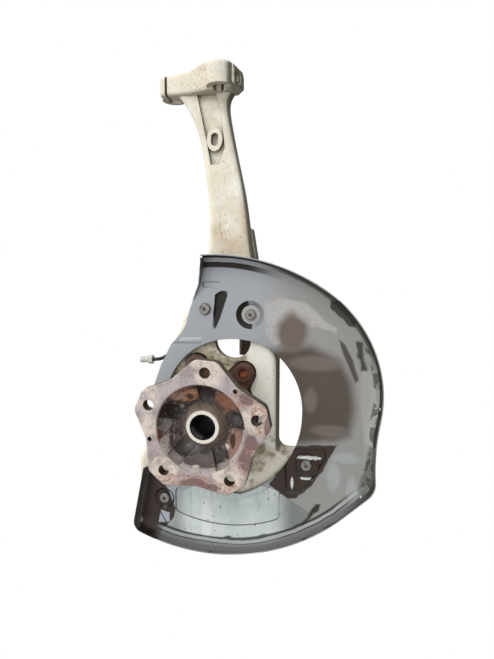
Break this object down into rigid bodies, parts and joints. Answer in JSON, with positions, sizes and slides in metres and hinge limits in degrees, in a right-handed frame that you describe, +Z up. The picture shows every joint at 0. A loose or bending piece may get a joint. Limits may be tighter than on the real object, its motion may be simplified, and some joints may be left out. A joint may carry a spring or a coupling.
{
  "type": "steering knuckle",
  "caption": "Swan-neck steering knuckle with a clamp head, a bolted wheel bearing and turning hub with a lobed wheel flange, a pressed dust shield and a rigid brake pipe",
  "frame": {"origin": "centre of the wheel flange face, on the wheel axis", "axes": "+Z up, -Y outboard towards the wheel, +X to the side of the wide shield"},
  "size_m": [0.3004, 0.153, 0.589],
  "materials": {
    "cast_aluminium": "weathered, oxidised",
    "forged_steel": "surface rust",
    "bearing_steel": "ground",
    "ring_steel": "rusty and greasy",
    "bolt_steel": "rusty",
    "black_sheet": "gloss black, dirty",
    "zinc_steel": "zinc plated, dulled",
    "pipe_black": "satin black coating",
    "cage_plastic": "moulded",
    "seal_rubber": "matt"
  },
  "bodies": {
    "carrier": {"knuckle": "cast_aluminium", "bearing_outer_ring": "ring_steel", "bearing_bolts": "bolt_steel", "outboard_seal_case": "bearing_steel", "outboard_seal_lip": "seal_rubber", "inboard_seal_case": "bearing_steel", "inboard_seal_lip": "seal_rubber", "dust_shield": "black_sheet", "shield_screws": "zinc_steel", "brake_pipe": "pipe_black", "caliper_pipe_nut": "zinc_steel", "hose_pipe_nut": "zinc_steel", "hose_union": "zinc_steel", "hose_bracket": "zinc_steel", "bracket_bolt": "zinc_steel"},
    "hub": {"wheel_hub": "forged_steel", "bearing_inner_ring": "bearing_steel", "inboard_slinger": "bearing_steel", "encoder_ring": "seal_rubber"},
    "outboard_row": {"outboard_balls": "bearing_steel", "outboard_cage": "cage_plastic"},
    "inboard_row": {"inboard_balls": "bearing_steel", "inboard_cage": "cage_plastic"}
  },
  "joints": [
    {"name": "hub_spin", "type": "hinge", "parent": "carrier", "child": "hub", "pos_m": [0, 0, 0], "axis": [0, 1, 0], "continuous": true},
    {"name": "outboard_row_spin", "type": "hinge", "parent": "carrier", "child": "outboard_row", "pos_m": [0, 0.047, 0], "axis": [0, 1, 0], "continuous": true},
    {"name": "inboard_row_spin", "type": "hinge", "parent": "carrier", "child": "inboard_row", "pos_m": [0, 0.083, 0], "axis": [0, 1, 0], "continuous": true}
  ],
  "couplings": [
    {"joint": "outboard_row_spin", "follows": "hub_spin", "ratio": 0.42},
    {"joint": "inboard_row_spin", "follows": "hub_spin", "ratio": 0.42}
  ]
}
